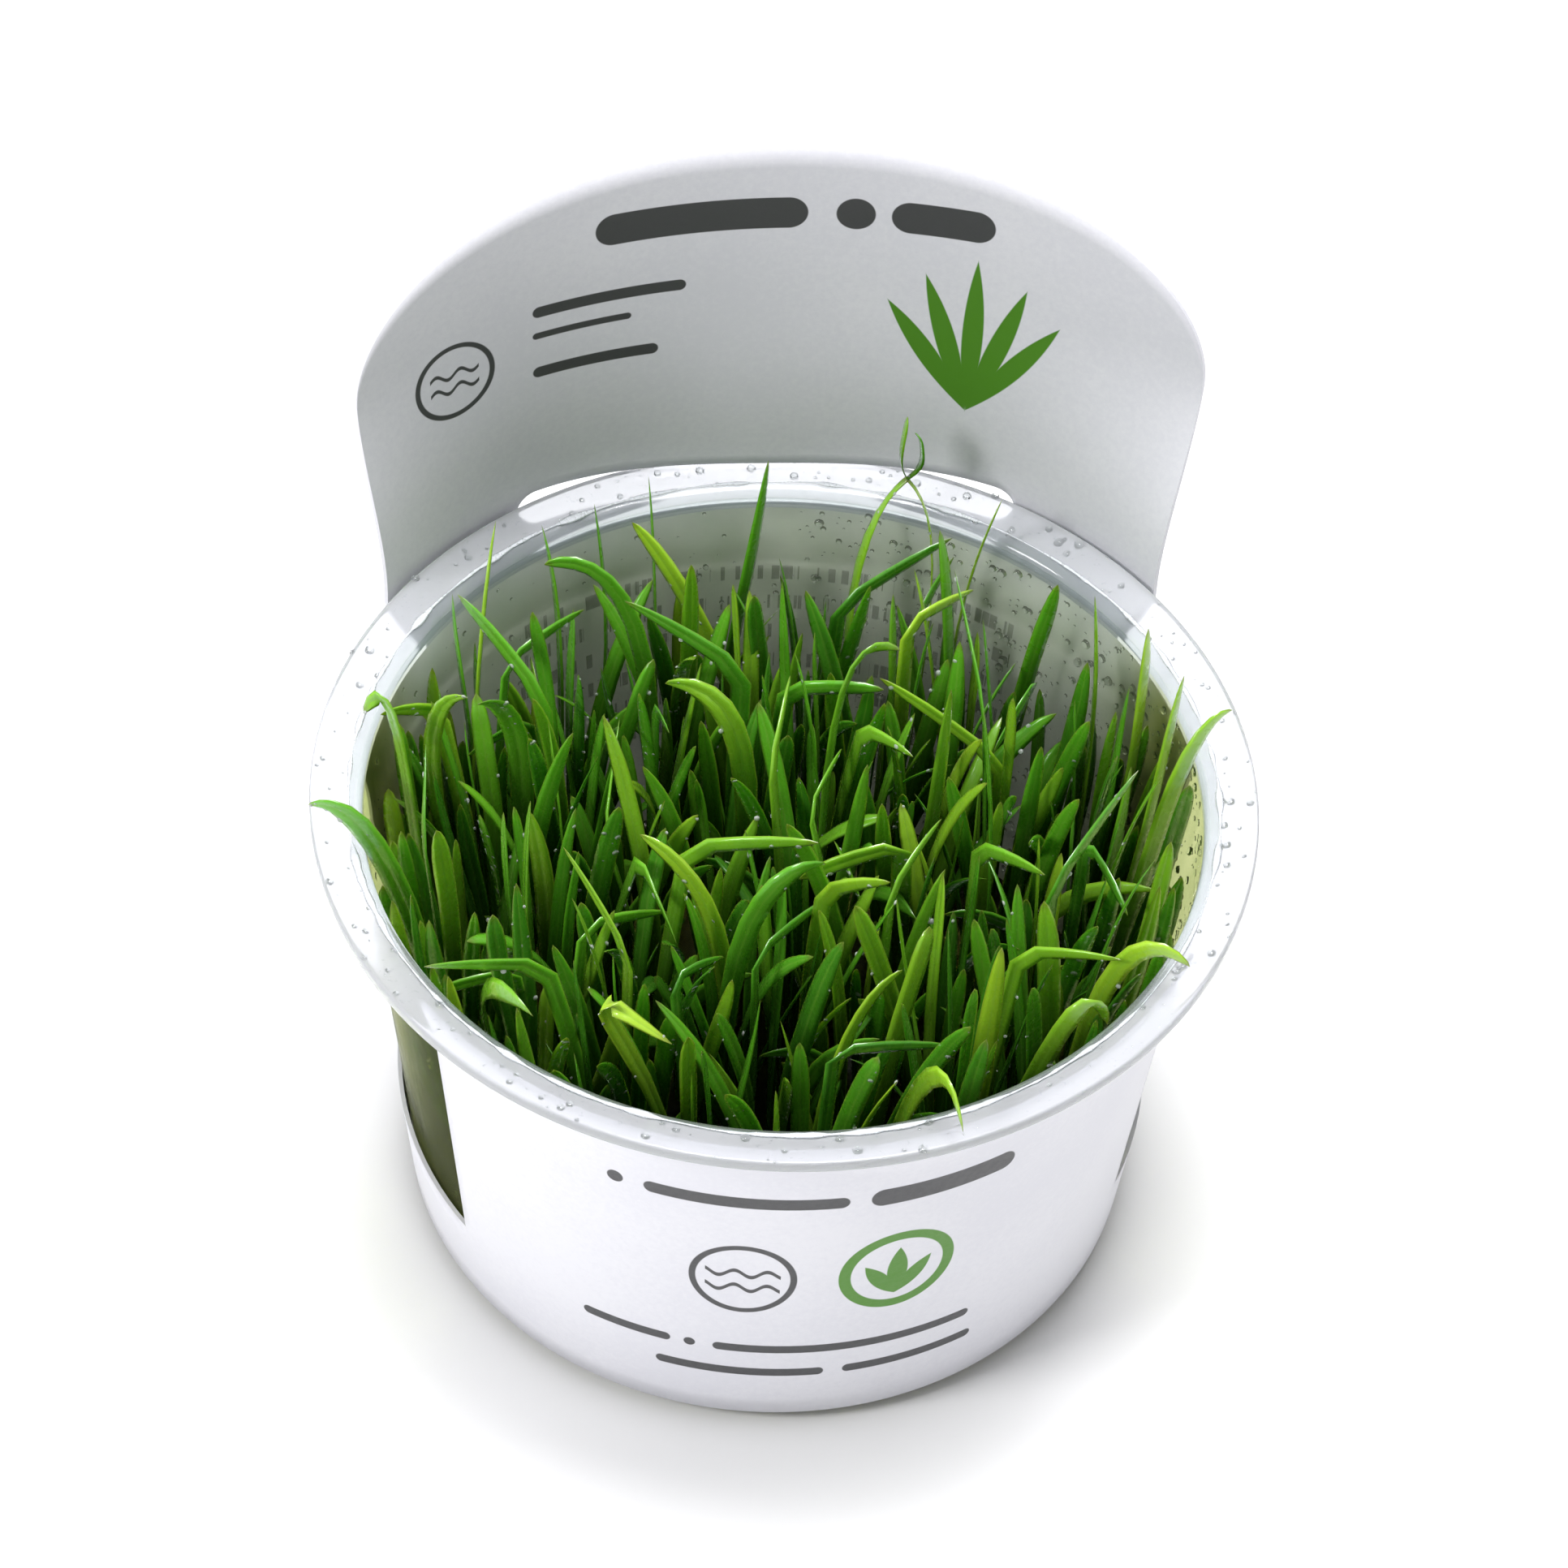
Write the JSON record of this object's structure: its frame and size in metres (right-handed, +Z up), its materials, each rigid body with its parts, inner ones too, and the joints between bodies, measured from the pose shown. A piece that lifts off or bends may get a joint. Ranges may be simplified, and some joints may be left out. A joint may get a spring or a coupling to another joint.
{
  "type": "tissue culture aquarium plant in a cup",
  "caption": "Grass-like aquarium plantlets growing in nutrient gel in a clear plastic cup, with a white card sleeve that has a tall arched header.",
  "frame": {"origin": "middle of the cup's underside, on the cup's axis", "axes": "+Z up along the cup's axis, -Y towards the sleeve's front panel, +Y towards the tall header"},
  "size_m": [0.1, 0.1003, 0.1035],
  "materials": {
    "cup_plastic": "clear moulded polypropylene, slightly milky, wet",
    "nutrient_gel": "clear olive-tinted gel, wet",
    "sleeve_card": "white coated card, soft sheen, printed in dark grey and green",
    "leaf": "wet living leaves, deep green to yellow green"
  },
  "bodies": {
    "root": {"cup": "cup_plastic", "gel": "nutrient_gel", "sleeve": "sleeve_card", "plantlet_01": "leaf", "plantlet_02": "leaf", "plantlet_03": "leaf", "plantlet_04": "leaf", "plantlet_05": "leaf", "plantlet_06": "leaf", "plantlet_07": "leaf", "plantlet_08": "leaf", "plantlet_09": "leaf", "plantlet_10": "leaf", "plantlet_11": "leaf", "plantlet_12": "leaf", "plantlet_13": "leaf", "plantlet_14": "leaf", "plantlet_15": "leaf", "plantlet_16": "leaf", "plantlet_17": "leaf", "plantlet_18": "leaf", "plantlet_19": "leaf", "plantlet_20": "leaf", "plantlet_21": "leaf", "plantlet_22": "leaf", "plantlet_23": "leaf", "plantlet_24": "leaf", "plantlet_25": "leaf", "plantlet_26": "leaf", "plantlet_27": "leaf", "plantlet_28": "leaf", "plantlet_29": "leaf", "plantlet_30": "leaf", "plantlet_31": "leaf", "plantlet_32": "leaf", "plantlet_33": "leaf", "plantlet_34": "leaf", "plantlet_35": "leaf", "plantlet_36": "leaf", "plantlet_37": "leaf", "plantlet_38": "leaf", "plantlet_39": "leaf", "plantlet_40": "leaf", "plantlet_41": "leaf", "plantlet_42": "leaf", "plantlet_43": "leaf", "plantlet_44": "leaf"}
  },
  "joints": []
}
